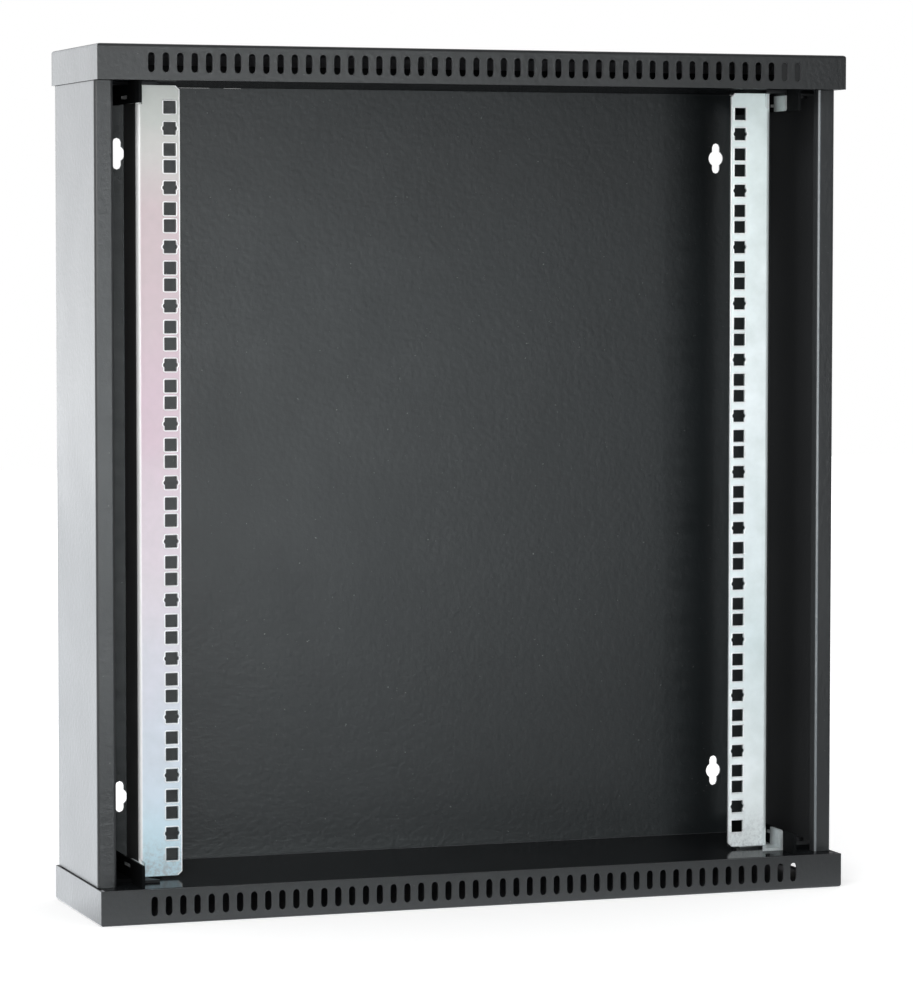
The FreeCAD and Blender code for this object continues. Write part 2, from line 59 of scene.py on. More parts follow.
# ---------------------------------------------------------------------------
# The view: the rack is seen from its left front and a little from above its
# middle, through a long lens three metres away. A pinhole camera fitted to the
# hole grid of the two rails gives these values.
# ---------------------------------------------------------------------------
eye = Vector((-1.04766455, -3.09658648, 0.17794855))
heading, dip, lean = 0.334352, 0.061415, 0.000531
focal_pixels, picture_height, sensor = 4117.2, 1000, 36

ahead = Vector((math.sin(heading) * math.cos(dip), math.cos(heading) * math.cos(dip),
                -math.sin(dip)))
level = Vector((math.cos(heading), -math.sin(heading), 0))
raised = level.cross(ahead)
across = math.cos(lean) * level + math.sin(lean) * raised
upward = math.cos(lean) * raised - math.sin(lean) * level

lens = bpy.data.cameras.new("view")
lens.sensor_width = sensor
lens.lens = focal_pixels / picture_height * sensor
lens.clip_end = 60
camera = bpy.data.objects.new("view", lens)
camera.matrix_world = (Matrix.Translation(eye)
                       @ Matrix((across, upward, -ahead)).transposed().to_4x4())
bpy.context.scene.collection.objects.link(camera)
bpy.context.scene.camera = camera
bpy.context.scene.view_settings.view_transform = "Standard"


# ---------------------------------------------------------------------------
# The studio: a white floor that takes a soft shadow, a white surround with a
# darker part that the metal and the coating mirror, and five plain soft lamps.
# None of it is part of the rack.
# ---------------------------------------------------------------------------
def put(tree, kind, inputs=None, **settings):
    """Adds a node, with its settings, and gives each input a value or joins it to a socket."""
    node = tree.nodes.new(kind)
    for word, value in settings.items():
        setattr(node, word, value)
    for socket, value in (inputs or {}).items():
        if isinstance(value, bpy.types.NodeSocket):
            tree.links.new(value, node.inputs[socket])
        else:
            node.inputs[socket].default_value = value
    return node


def ramp(tree, factor, *stops):
    """A colour ramp with the given places and colours."""
    node = put(tree, "ShaderNodeValToRGB", {"Fac": factor})
    marks = node.color_ramp.elements
    while len(marks) < len(stops):
        marks.new(0.5)
    for mark, (spot, colour) in zip(marks, stops):
        mark.position = spot
        mark.color = (*colour, 1.0)
    return node.outputs["Color"]


def calc(tree, operation, *values):
    """One step of arithmetic between values or sockets."""
    return put(tree, "ShaderNodeMath", dict(enumerate(values)), operation=operation).outputs[0]


def span(tree, value, low, high, floor_value, top_value):
    """Maps a value from one range to another and holds it there."""
    return put(tree, "ShaderNodeMapRange", {"Value": value, "From Min": low, "From Max": high,
                                            "To Min": floor_value, "To Max": top_value}).outputs[0]


def blend_colour(tree, factor, first, second):
    """One colour laid over another by a factor."""
    return put(tree, "ShaderNodeMix", {0: factor, 6: first, 7: second},
               data_type="RGBA").outputs[2]


surround_light = 0.60
by_heading = ((-180, 1.3), (-100, 2.2), (-60, 3.4), (-14, 3.9), (2, 3.1), (12, 2.9), (16, 1.9),
              (19, 0.6), (22, 0.0), (42, 0.0), (58, 0.8), (110, 0.9), (180, 1.4))
by_rise = ((-0.21, 0.5), (-0.12, 0.7), (-0.05, 1.4), (0.0, 0.95), (0.05, 0.5), (0.18, 0.35))
heading_scale, rise_scale = 4.0, 1.5

world = bpy.data.worlds.new("surround")
world.use_nodes = True
bpy.context.scene.world = world
sky = world.node_tree
sky.nodes.clear()
ray = put(sky, "ShaderNodeLightPath").outputs
way = put(sky, "ShaderNodeSeparateXYZ",
          {0: put(sky, "ShaderNodeTexCoord").outputs["Generated"]}).outputs
turn = calc(sky, "ARCTAN2", way["X"], calc(sky, "MULTIPLY", way["Y"], -1.0))
turn = calc(sky, "MULTIPLY_ADD", turn, 0.5 / math.pi, 0.5)
round_about = ramp(sky, turn, *[(0.5 + angle / 360, (amount / heading_scale,) * 3)
                                for angle, amount in by_heading])
up_and_down = ramp(sky, calc(sky, "ADD", way["Z"], 0.5),
                   *[(0.5 + rise, (amount / rise_scale,) * 3) for rise, amount in by_rise])
walls = calc(sky, "MULTIPLY", calc(sky, "MULTIPLY", round_about, heading_scale),
             calc(sky, "MULTIPLY", up_and_down, rise_scale))
mirrored = put(sky, "ShaderNodeMix", {0: ray["Is Glossy Ray"], 2: surround_light,
                                      3: walls}).outputs[0]
plain = calc(sky, "MAXIMUM", ray["Is Camera Ray"], ray["Is Transmission Ray"])
strength = put(sky, "ShaderNodeMix", {0: plain, 2: mirrored, 3: 1.0}).outputs[0]
backdrop = put(sky, "ShaderNodeBackground", {"Color": (1.0, 1.0, 1.0, 1.0), "Strength": strength})
put(sky, "ShaderNodeOutputWorld", {"Surface": backdrop.outputs[0]})

floor_half, floor_front = 6.0, 3.0
floor_level = cad_box[0].z
floor_mesh = bpy.data.meshes.new("floor")
floor_mesh.from_pydata([(-floor_half, -floor_front, floor_level),
                        (floor_half, -floor_front, floor_level),
                        (floor_half, floor_half, floor_level),
                        (-floor_half, floor_half, floor_level)], [], [(0, 1, 2, 3)])
floor = bpy.data.objects.new("floor", floor_mesh)
bpy.context.scene.collection.objects.link(floor)
paper = bpy.data.materials.new("floor_paper")
paper.use_nodes = True
sheet = paper.node_tree
sheet.nodes.clear()
ray = put(sheet, "ShaderNodeLightPath").outputs
# Glossy rays see the floor darker, 0.40 in place of 0.86: painted shade in the floor's reflection
# in the bottom cover.
paper_colour = blend_colour(sheet, ray["Is Glossy Ray"], (0.86, 0.86, 0.86, 1.0),
                            (0.40, 0.40, 0.40, 1.0))
matt = put(sheet, "ShaderNodeBsdfDiffuse", {"Color": paper_colour})
spot = put(sheet, "ShaderNodeSeparateXYZ",
           {0: put(sheet, "ShaderNodeTexCoord").outputs["Object"]}).outputs
# Glossy rays also see the floor behind the rack glow, up to 2.6, with a blue tint: a painted
# reflection of light, which the outer sides of the rack mirror.
behind = span(sheet, spot["Y"], -0.30, 0.0, 0.1, 2.6)
far = span(sheet, spot["Y"], 0.3, 2.5, 0.44, 1.0)
lift = calc(sheet, "MULTIPLY", ray["Is Camera Ray"], far)
lift = calc(sheet, "MULTIPLY_ADD", ray["Is Glossy Ray"], behind, lift)
tint = blend_colour(sheet, ray["Is Glossy Ray"], (1.0, 1.0, 1.0, 1.0), (0.92, 0.96, 1.0, 1.0))
glow = put(sheet, "ShaderNodeEmission", {"Color": tint, "Strength": lift})
both = put(sheet, "ShaderNodeAddShader", {0: matt.outputs[0], 1: glow.outputs[0]})
put(sheet, "ShaderNodeOutputMaterial", {"Surface": both.outputs[0]})
floor_mesh.materials.append(paper)


def lamp(name, place, target, width, height, power, colour=(1.0, 1.0, 1.0)):
    """A soft rectangular lamp that faces a point of the rack."""
    light = bpy.data.lights.new(name, "AREA")
    light.shape = "RECTANGLE"
    light.color = colour
    light.size, light.size_y, light.energy = width, height, power
    item = bpy.data.objects.new(name, light)
    item.location = place
    item.rotation_euler = (Vector(target) - Vector(place)).to_track_quat("-Z", "Y").to_euler()
    bpy.context.scene.collection.objects.link(item)


lamp("key_lamp", (-1.9, -2.6, 2.1), (0.0, 0.0, 0.0), 1.6, 1.2, 36)
lamp("near_lamp", (-1.3, -3.5, -0.05), (-0.2, 0.0, 0.0), 0.5, 1.5, 24)
lamp("front_lamp", (0.55, -3.2, -0.12), (-0.1, 0.0, 0.0), 0.7, 0.4, 12, (0.90, 0.98, 1.0))
lamp("fill_lamp", (2.8, -1.3, 1.3), (0.0, 0.0, 0.0), 1.4, 1.4, 12)
lamp("side_lamp", (-0.95, 2.3, 0.6), (-0.3, 0.0, 0.0), 1.5, 1.6, 13, (0.92, 0.96, 1.0))


# ---------------------------------------------------------------------------
# Top and bottom covers: trays of 1.2 mm steel folded on four sides, with vent
# slots punched in the front lip and a fine black powder coat with a slight
# grain and a little dust. A glued patch backs two of the top slots.
# ---------------------------------------------------------------------------
def noise(tree, place, scale, detail=2.0, roughness=0.5):
    """Cloudy noise of a given number of cells for each metre."""
    return put(tree, "ShaderNodeTexNoise", {"Vector": place, "Scale": scale, "Detail": detail,
                                            "Roughness": roughness}).outputs["Fac"]


# The second value is a painted highlight colour, laid along a coat's fold.
dust_colour, fold_highlight_colour, matt_gloss = (0.34, 0.34, 0.33, 1.0), (0.085, 0.10, 0.11, 1.0), 0.8


def powder_coat(name, dark, light, gloss_low, gloss_high, dust, mirror=0.5, inner=None,
                inner_colour=None, fold=None, film=0.0):
    """Fine black coat with grain and dust, matt in an inner box with its own colour there, and
    with a painted highlight along a fold, where the coat is lighter and mirrors more.
    """
    material = bpy.data.materials.new(name)
    material.use_nodes = True
    tree = material.node_tree
    shader = tree.nodes["Principled BSDF"]
    shader.inputs["Specular IOR Level"].default_value = mirror
    shader.inputs["Coat Weight"].default_value = film
    shader.inputs["Coat Roughness"].default_value = 0.12
    place = put(tree, "ShaderNodeTexCoord").outputs["Object"]
    cloud = noise(tree, place, 7.0, 4.0)
    body_colour = ramp(tree, cloud, (0.30, dark), (0.72, light))
    speck = span(tree, noise(tree, place, 420.0, 2.0), 0.74, 0.82, 0.0, dust)
    colour = blend_colour(tree, speck, body_colour, dust_colour)
    gloss = span(tree, noise(tree, place, 16.0, 5.0), 0.32, 0.70, gloss_low, gloss_high)
    if inner:
        parts = put(tree, "ShaderNodeSeparateXYZ", {"Vector": place}).outputs
        inside = 1.0
        for axis, (middle, half) in zip("XYZ", inner):
            near = calc(tree, "COMPARE", parts[axis], middle, half)
            inside = calc(tree, "MULTIPLY", near, inside)
        gloss = calc(tree, "MAXIMUM", gloss, calc(tree, "MULTIPLY", inside, matt_gloss))
        # The inner faces are given a lighter grey colour.
        if inner_colour:
            colour = blend_colour(tree, inside, colour, (*inner_colour, 1.0))
        # A strip along the fold, outside the inner box, is painted lighter and mirrors more: a
        # painted highlight.
        if fold:
            bend = calc(tree, "COMPARE", parts["X"], *fold)
            fold_highlight = calc(tree, "SUBTRACT", bend, calc(tree, "MULTIPLY", bend, inside))
            colour = blend_colour(tree, fold_highlight, colour, fold_highlight_colour)
            shine = span(tree, fold_highlight, 0.0, 1.0, mirror, 1.0)
            tree.links.new(shine, shader.inputs["Specular IOR Level"])
    tree.links.new(colour, shader.inputs["Base Color"])
    tree.links.new(gloss, shader.inputs["Roughness"])
    grain = noise(tree, place, 1500.0, 2.0)
    swell = noise(tree, place, 260.0, 1.0)
    fine = put(tree, "ShaderNodeBump", {"Strength": 0.30, "Distance": 0.0002, "Height": grain})
    broad = put(tree, "ShaderNodeBump", {"Strength": 0.22, "Distance": 0.0006,
                                         "Height": swell, "Normal": fine.outputs[0]})
    tree.links.new(broad.outputs[0], shader.inputs["Normal"])
    return material


def dress(material, *names):
    """Gives a material to every slot of some CAD nodes."""
    for name in names:
        piece = nodes[name]
        if not piece.material_slots:
            piece.data.materials.append(material)
        for slot in piece.material_slots:
            slot.material = material


def blocks(name, boxes, material):
    """One piece of plain boxes, each given by its low and high places on X, Y and Z."""
    points, quads = [], []
    for box in boxes:
        start = len(points)
        points += [(x, y, z) for x in box[0] for y in box[1] for z in box[2]]
        quads += [tuple(start + corner for corner in quad) for quad in
                  ((0, 1, 3, 2), (4, 6, 7, 5), (0, 4, 5, 1), (2, 3, 7, 6), (0, 2, 6, 4),
                   (1, 5, 7, 3))]
    mesh = bpy.data.meshes.new(name)
    mesh.from_pydata(points, [], quads)
    mesh.materials.append(material)
    item = bpy.data.objects.new(name, mesh)
    bpy.context.scene.collection.objects.link(item)
    return item


cover_skin = 0.0006
cover_half, cover_front, cover_top = cad_box[1].x, cad_box[0].y, cad_box[1].z
coat_dark, coat_light = (0.0125, 0.0137, 0.0146), (0.018, 0.0195, 0.0206)
for level_name, mirror in (("top", 0.5), ("bottom", 0.42)):
    cover_coat = powder_coat(level_name + "_cover_coat", coat_dark, coat_light, 0.29, 0.34, 0.4,
                             mirror=mirror, inner_colour=(0.13, 0.13, 0.14),
                             inner=((0.0, cover_half - cover_skin),
                                    (cover_front / 2, -cover_front / 2 - cover_skin),
                                    (0.0, cover_top - cover_skin)))
    dress(cover_coat, level_name + "_cover")

patch_coat = powder_coat("patch_coat", (0.008, 0.008, 0.0085), coat_dark, 0.45, 0.6, 0.2,
                         mirror=0.25)
patch_box = (0.2453, 0.2693), (-0.1412, -0.1407), (0.3050, 0.3224)
patch = blocks("vent_patch", [patch_box], patch_coat)
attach(patch, "root")


# ---------------------------------------------------------------------------
# Inner plates: they close the covers flush with their lips and carry the rails.
# Their coat is smoother, so the ends of the rails mirror in them at a low angle.
# ---------------------------------------------------------------------------
for level_name, film in (("top", 0.22), ("bottom", 0.45)):
    plate_coat = powder_coat(level_name + "_plate_coat", (0.007, 0.008, 0.009),
                             (0.011, 0.012, 0.013), 0.4, 0.5, 0.3, mirror=0.0, film=film)
    dress(plate_coat, level_name + "_inner_plate")


# ---------------------------------------------------------------------------
# Side panels: single sheets with a front flange and a return, screwed to the
# plates through their end flanges. They have the same coat as the covers.
# ---------------------------------------------------------------------------
panel_low, panel_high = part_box("right_side_panel")
flange_reach, fold_half = 0.0146, 0.0013
right_fold = (panel_high.x - flange_reach + fold_half, fold_half)
# The right panel's coat has a painted highlight along the fold of its return.
for side_name, fold in (("left", None), ("right", right_fold)):
    panel_coat = powder_coat(side_name + "_panel_coat", (0.013, 0.0145, 0.016),
                             (0.019, 0.021, 0.0225), 0.30, 0.325, 0.4, fold=fold,
                             inner=((0.0, panel_high.x - cover_skin),
                                    (panel_low.y / 2, -panel_low.y / 2 - cover_skin),
                                    (0.0, cover_top)))
    dress(panel_coat, side_name + "_side_panel")


# ---------------------------------------------------------------------------
# Rear panel: one flat sheet with four double-ended keyholes, screwed to the
# side panels from inside and held between the inner plates by short tabs. The
# coat closes most of the fine seam above its top edge.
# ---------------------------------------------------------------------------
# The rear coat is darker and bluer than the covers': partly the sheet's own tone, partly painted
# shade for the back of the recess.
rear_coat = powder_coat("rear_coat", (0.0085, 0.0108, 0.0118), (0.0120, 0.0150, 0.0164),
                        0.33, 0.37, 0.4, mirror=0.4)
dress(rear_coat, "rear_panel")

unit_height, rack_units, end_room = 0.04445, 13, 0.011875
seam_left, seam_right, seam_gap, seam_inset = -0.150, 0.262, 0.00012, 0.0002
rear_low, rear_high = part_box("rear_panel")
plate_face = rack_units * unit_height / 2 + end_room
seam_box = ((seam_left, seam_right), (rear_low.y + seam_inset, rear_high.y - seam_inset),
            (plate_face - seam_gap, plate_face))
seam = blocks("rear_seam", [seam_box], rear_coat)
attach(seam, "root")


# ---------------------------------------------------------------------------
# Carrier angles: black folded angles from front to back beside the ends of the
# rails, with one slot each in which a rail could be set further back.
# ---------------------------------------------------------------------------
# The carrier coat is darker than the covers' and mirrors almost nothing: partly the angles' own
# black paint, partly painted shade where they sit between the rails and the side panels.
carrier_coat = powder_coat("carrier_coat", (0.004, 0.0045, 0.005), (0.007, 0.0075, 0.008),
                           0.66, 0.78, 0.2, mirror=0.04)
dress(carrier_coat, "top_left_carrier", "top_right_carrier", "bottom_left_carrier",
      "bottom_right_carrier")


# ---------------------------------------------------------------------------
# Mounting rails: 2 mm zinc-plated steel angles with square holes on the 19-inch grid. The zinc is
# bright and a little cloudy, with a changing tint and with grey scuffs near its lower end, where
# rails rub when they are handled. Each rail's brightness is painted over that tint: darker on the
# left rail and lighter on the right one, and changing with height, as painted shade and painted
# light.
# ---------------------------------------------------------------------------
# The second colour is painted shade laid over zinc far from z = 0; the third is painted shade on
# the legs of the rails.
zinc_low, end_shade_colour, leg_shade_colour = -0.30, (0.010, 0.011, 0.012, 1.0), (0.22, 0.22, 0.22, 1.0)
plate_metal, bend_width = 0.65, 0.0012


def zinc(name, tints, scuff_reach, scuff_amount, worn_colour=(0.40, 0.42, 0.44),
         coated_from=1.0, fold=None):
    """Zinc plating with tints by height, which on the rails also hold painted light and shade,
    mottles, lines and scuffs, painted near-black far from z = 0 as painted shade, and on a fold
    painted light on the bend and painted shade on the leg.
    """
    material = bpy.data.materials.new(name)
    material.use_nodes = True
    tree = material.node_tree
    shader = tree.nodes["Principled BSDF"]
    shader.inputs["Metallic"].default_value = plate_metal
    place = put(tree, "ShaderNodeTexCoord").outputs["Object"]
    parts = put(tree, "ShaderNodeSeparateXYZ", {"Vector": place}).outputs
    height = parts["Z"]
    wander = span(tree, noise(tree, place, 9.0, 2.0), 0.25, 0.75, -0.035, 0.035)
    drift = span(tree, calc(tree, "ADD", height, wander), zinc_low, -zinc_low, 0.0, 1.0)
    tint = ramp(tree, drift, *[(level / -zinc_low / 2 + 0.5, tone) for level, tone in tints])
    cloud = noise(tree, place, 45.0, 4.0, 0.6)
    mottle = ramp(tree, cloud, (0.32, (0.86, 0.87, 0.86)), (0.68, (1.0, 1.0, 1.0)))
    toned = put(tree, "ShaderNodeMix", {0: 1.0, 6: tint, 7: mottle}, data_type="RGBA",
                blend_type="MULTIPLY").outputs[2]
    long_marks = put(tree, "ShaderNodeMapping", {"Vector": place, "Scale": (1.0, 1.0, 0.16)})
    streak = noise(tree, long_marks.outputs[0], 620.0, 3.0, 0.7)
    scuffs = span(tree, noise(tree, place, 300.0, 5.0, 0.7), 0.45, 0.62, 0.0, 1.0)
    low_end = span(tree, height, zinc_low, zinc_low + scuff_reach, 1.0, 0.0)
    worn = calc(tree, "MULTIPLY", calc(tree, "MULTIPLY", scuffs, low_end), scuff_amount)
    colour = blend_colour(tree, worn, toned, (*worn_colour, 1.0))
    # Far from z = 0 the colour is painted near-black: painted shade.
    shaded = calc(tree, "GREATER_THAN", calc(tree, "ABSOLUTE", height), coated_from)
    colour = blend_colour(tree, shaded, colour, end_shade_colour)
    # On a fold, the bend is painted lighter and less metallic, as painted light, and the leg
    # behind it is painted dark grey and more metallic, as painted shade.
    if fold:
        bend_start, leg_start, bend_light_colour = fold
        bend = span(tree, calc(tree, "ABSOLUTE", parts["X"]), bend_start, bend_start + bend_width,
                    0.0, 1.0)
        leg = span(tree, parts["Y"], leg_start - 0.0004, leg_start + 0.0006, 0.0, 1.0)
        colour = blend_colour(tree, bend, colour, (*bend_light_colour, 1.0))
        colour = blend_colour(tree, leg, colour, leg_shade_colour)
        metal = calc(tree, "MULTIPLY_ADD", bend, -0.45, plate_metal)
        metal = calc(tree, "MULTIPLY_ADD", leg, 0.7, metal)
        tree.links.new(metal, shader.inputs["Metallic"])
    tree.links.new(colour, shader.inputs["Base Color"])
    gloss = span(tree, cloud, 0.30, 0.70, 0.46, 0.56)
    tree.links.new(gloss, shader.inputs["Roughness"])
    lines = put(tree, "ShaderNodeBump", {"Strength": 0.10, "Distance": 0.0002, "Height": streak})
    dents = put(tree, "ShaderNodeBump", {"Strength": 0.20, "Distance": 0.0006, "Height": cloud,
                                         "Normal": lines.outputs[0]})
    tree.links.new(dents.outputs[0], shader.inputs["Normal"])
    return material


rail_bend, rail_leg = 0.2552, -0.0898
# The two rails are one part: the left rail's colours are painted darker and the right rail's
# lighter, and both change in brightness with height, as painted shade and painted light over the
# zinc's own pink and blue tints. The last colour of each is for the bend: near-white on the left
# as a painted highlight, grey on the right as painted light.
left_zinc = zinc("left_rail_zinc", ((-0.29, (0.55, 0.71, 0.79)), (-0.20, (0.61, 0.65, 0.72)),
                                    (-0.07, (0.65, 0.59, 0.64)), (0.06, (0.60, 0.48, 0.54)),
                                    (0.19, (0.55, 0.46, 0.48)), (0.28, (0.54, 0.55, 0.53))),
                 0.035, 0.9, fold=(rail_bend, rail_leg, (0.98, 0.98, 0.98)))
right_zinc = zinc("right_rail_zinc", ((-0.28, (0.90, 0.94, 0.95)), (-0.15, (0.77, 0.86, 0.88)),
                                      (0.05, (0.89, 0.95, 0.97)), (0.28, (0.80, 0.88, 0.88))),
                  0.035, 0.5, fold=(rail_bend, rail_leg, (0.62, 0.67, 0.67)))
dress(left_zinc, "left_rail")
dress(right_zinc, "right_rail")


# ---------------------------------------------------------------------------
# Rolled edges of the rails: the punch leaves a smooth edge round each square hole, also round the
# side notches of the middle hole of a unit, and the shears leave one along the inner edge. Each is
# a thin bead in the sheet that catches the light, and its zinc is lighter than the rails': a
# painted highlight.
# ---------------------------------------------------------------------------
def socket_of(tree, name, kind, value=None, direction="INPUT"):
    """A named input or output of a node tree, with its first value."""
    item = tree.interface.new_socket(name=name, in_out=direction, socket_type=kind)
    if value is not None:
        item.default_value = value
    return item


def set_inputs(modifier, **values):
    """Gives values to the modifier's named inputs by the identifiers of their sockets."""
    for item in modifier.node_group.interface.items_tree:
        word = item.name.lower().replace(" ", "_")
        if item.in_out == "INPUT" and word in values:
            modifier[item.identifier] = values[word]


def grown(name, mesh, tree, **values):
    """The plain mesh that a tree of geometry nodes makes from a starting mesh."""
    seed = bpy.data.objects.new(name + "_seed", mesh)
    bpy.context.scene.collection.objects.link(seed)
    modifier = seed.modifiers.new("grow", "NODES")
    modifier.node_group = tree
    set_inputs(modifier, **values)
    depsgraph = bpy.context.evaluated_depsgraph_get()
    result = bpy.data.meshes.new_from_object(seed.evaluated_get(depsgraph))
    bpy.data.objects.remove(seed)
    result.name = name
    item = bpy.data.objects.new(name, result)
    bpy.context.scene.collection.objects.link(item)
    return item


def bead_tree():
    """Repeats the outlines of one rack unit up the rail and sweeps a round bead along them."""
    tree = bpy.data.node_groups.new("rolled_edges", "GeometryNodeTree")
    socket_of(tree, "Outlines", "NodeSocketGeometry")
    socket_of(tree, "Units", "NodeSocketInt", 13)
    socket_of(tree, "Pitch", "NodeSocketFloat", 0.04445)
    socket_of(tree, "Lowest", "NodeSocketFloat", 0.0)
    socket_of(tree, "Bead Radius", "NodeSocketFloat", 0.0006)
    socket_of(tree, "Finish", "NodeSocketMaterial")
    socket_of(tree, "Geometry", "NodeSocketGeometry", direction="OUTPUT")
    given = put(tree, "NodeGroupInput").outputs
    curve = put(tree, "GeometryNodeMeshToCurve", {"Mesh": given["Outlines"]})
    ring = put(tree, "GeometryNodeCurvePrimitiveCircle", {"Resolution": 8,
                                                          "Radius": given["Bead Radius"]})
    bead = put(tree, "GeometryNodeCurveToMesh", {"Curve": curve.outputs[0],
                                                 "Profile Curve": ring.outputs[0],
                                                 "Fill Caps": True})
    first = put(tree, "ShaderNodeCombineXYZ", {"Z": given["Lowest"]})
    step = put(tree, "ShaderNodeCombineXYZ", {"Z": given["Pitch"]})
    line = put(tree, "GeometryNodeMeshLine", {"Count": given["Units"],
                                              "Start Location": first.outputs[0],
                                              "Offset": step.outputs[0]})
    copies = put(tree, "GeometryNodeInstanceOnPoints", {"Points": line.outputs[0],
                                                        "Instance": bead.outputs[0]})
    real = put(tree, "GeometryNodeRealizeInstances", {"Geometry": copies.outputs[0]})
    finish = put(tree, "GeometryNodeSetMaterial", {"Geometry": real.outputs[0],
                                                   "Material": given["Finish"]})
    put(tree, "NodeGroupOutput", {"Geometry": finish.outputs[0]})
    return tree


def hole_outline(centre, half, notch_reach, notch_half, corner):
    """Corner points of a square hole; a notch widens its two sides where its reach isn't nil."""
    x, z = centre
    points = []
    for turn in range(4):
        quarter = turn * math.pi / 2
        side = []
        if notch_reach and turn in (0, 2):
            side += [(half, -notch_half), (half + 0.8 * notch_reach, -0.6 * notch_half),
                     (half + notch_reach, 0.0), (half + 0.8 * notch_reach, 0.6 * notch_half),
                     (half, notch_half)]
        for step in range(4):
            bow = math.radians(30 * step)
            side.append((half - corner + corner * math.cos(bow),
                         half - corner + corner * math.sin(bow)))
        for a, b in side:
            points.append((x + a * math.cos(quarter) - b * math.sin(quarter),
                           z + a * math.sin(quarter) + b * math.cos(quarter)))
    return points


hole_step, hole_half, hole_corner = 0.015875, 0.00475, 0.0006
rail_low, rail_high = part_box("right_rail")
rail_front, rail_inner, rail_end = rail_low.y, rail_low.x, rail_high.z
hole_inset = 0.00785
notch_reach, notch_half = 0.00105, 0.0019
bead_radius, bead_sink = 0.0006, 0.00035

points, edges = [], []
for side in (-1, 1):
    for shift in (-1, 0, 1):
        reach = notch_reach if shift == 0 else 0.0
        loop = hole_outline((side * (rail_inner + hole_inset), shift * hole_step),
                            hole_half + bead_radius, reach, notch_half, hole_corner + bead_radius)
        start = len(points)
        points += [(x, rail_front + bead_sink, z) for x, z in loop]
        edges += [(start + step, start + (step + 1) % len(loop)) for step in range(len(loop))]
unit_mesh = bpy.data.meshes.new("unit_outlines")
unit_mesh.from_pydata(points, edges, [])

# A light zinc for the beads and the tongues: a painted highlight.
highlight_zinc = zinc("rolled_edge_zinc", ((-0.28, (0.92, 0.94, 0.96)), (0.28, (0.94, 0.94, 0.95))),
                   0.06, 0.3)
beads = bead_tree()
hole_beads = grown("hole_edges", unit_mesh, beads, units=rack_units, pitch=unit_height,
                   lowest=-unit_height * (rack_units - 1) / 2, bead_radius=bead_radius,
                   finish=highlight_zinc)
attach(hole_beads, "root")

corner_cut = 0.0032
points, edges = [], []
for side in (-1, 1):
    edge = side * (rail_inner + bead_sink)
    run = [(edge + side * corner_cut, -rail_end + bead_sink), (edge, corner_cut - rail_end),
           (edge, rail_end - corner_cut), (edge + side * corner_cut, rail_end - bead_sink)]
    start = len(points)
    points += [(x, rail_front + bead_sink, z) for x, z in run]
    edges += [(start + step, start + step + 1) for step in range(len(run) - 1)]
edge_mesh = bpy.data.meshes.new("edge_lines")
edge_mesh.from_pydata(points, edges, [])
rail_edges = grown("rail_edges", edge_mesh, beads, units=1, pitch=0.0, lowest=0.0,
                   bead_radius=bead_radius, finish=highlight_zinc)
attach(rail_edges, "root")


# ---------------------------------------------------------------------------
# Feet of the rails: folded zinc-plated brackets, bolted to the inner plates. The
# tab of each stands at the carrier angle, with an embossed tongue in its slot.
# The bases of three are painted near-black above a height, as painted shade.
# ---------------------------------------------------------------------------
# The feet's zinc is painted darker than the rails': painted shade, as the feet stand behind the
# rail faces.
foot_shade_tints = ((-0.29, (0.58, 0.62, 0.63)), (0.29, (0.58, 0.62, 0.62)))
dress(zinc("foot_zinc", foot_shade_tints, 0.05, 0.4), "bottom_right_foot")
dress(zinc("coated_foot_zinc", foot_shade_tints, 0.05, 0.4, coated_from=0.2968), "top_left_foot",
      "top_right_foot", "bottom_left_foot")

tongue_middle, tongue_level, tongue_near, tongue_far = -0.088, 0.2896, 0.2643, 0.2664
tongue_length, tongue_height = 0.0174, 0.0022
tongue_run = (tongue_middle - tongue_length / 2, tongue_middle + tongue_length / 2)
# The tongues take the light bead zinc, a painted highlight, as they sit in shade inside the slots.
tongues = blocks("foot_tongues",
                 [(sorted((side * tongue_near, side * tongue_far)), tongue_run,
                   (level_side * tongue_level - tongue_height / 2,
                    level_side * tongue_level + tongue_height / 2))
                  for side in (-1, 1) for level_side in (-1, 1)], highlight_zinc)
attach(tongues, "root")


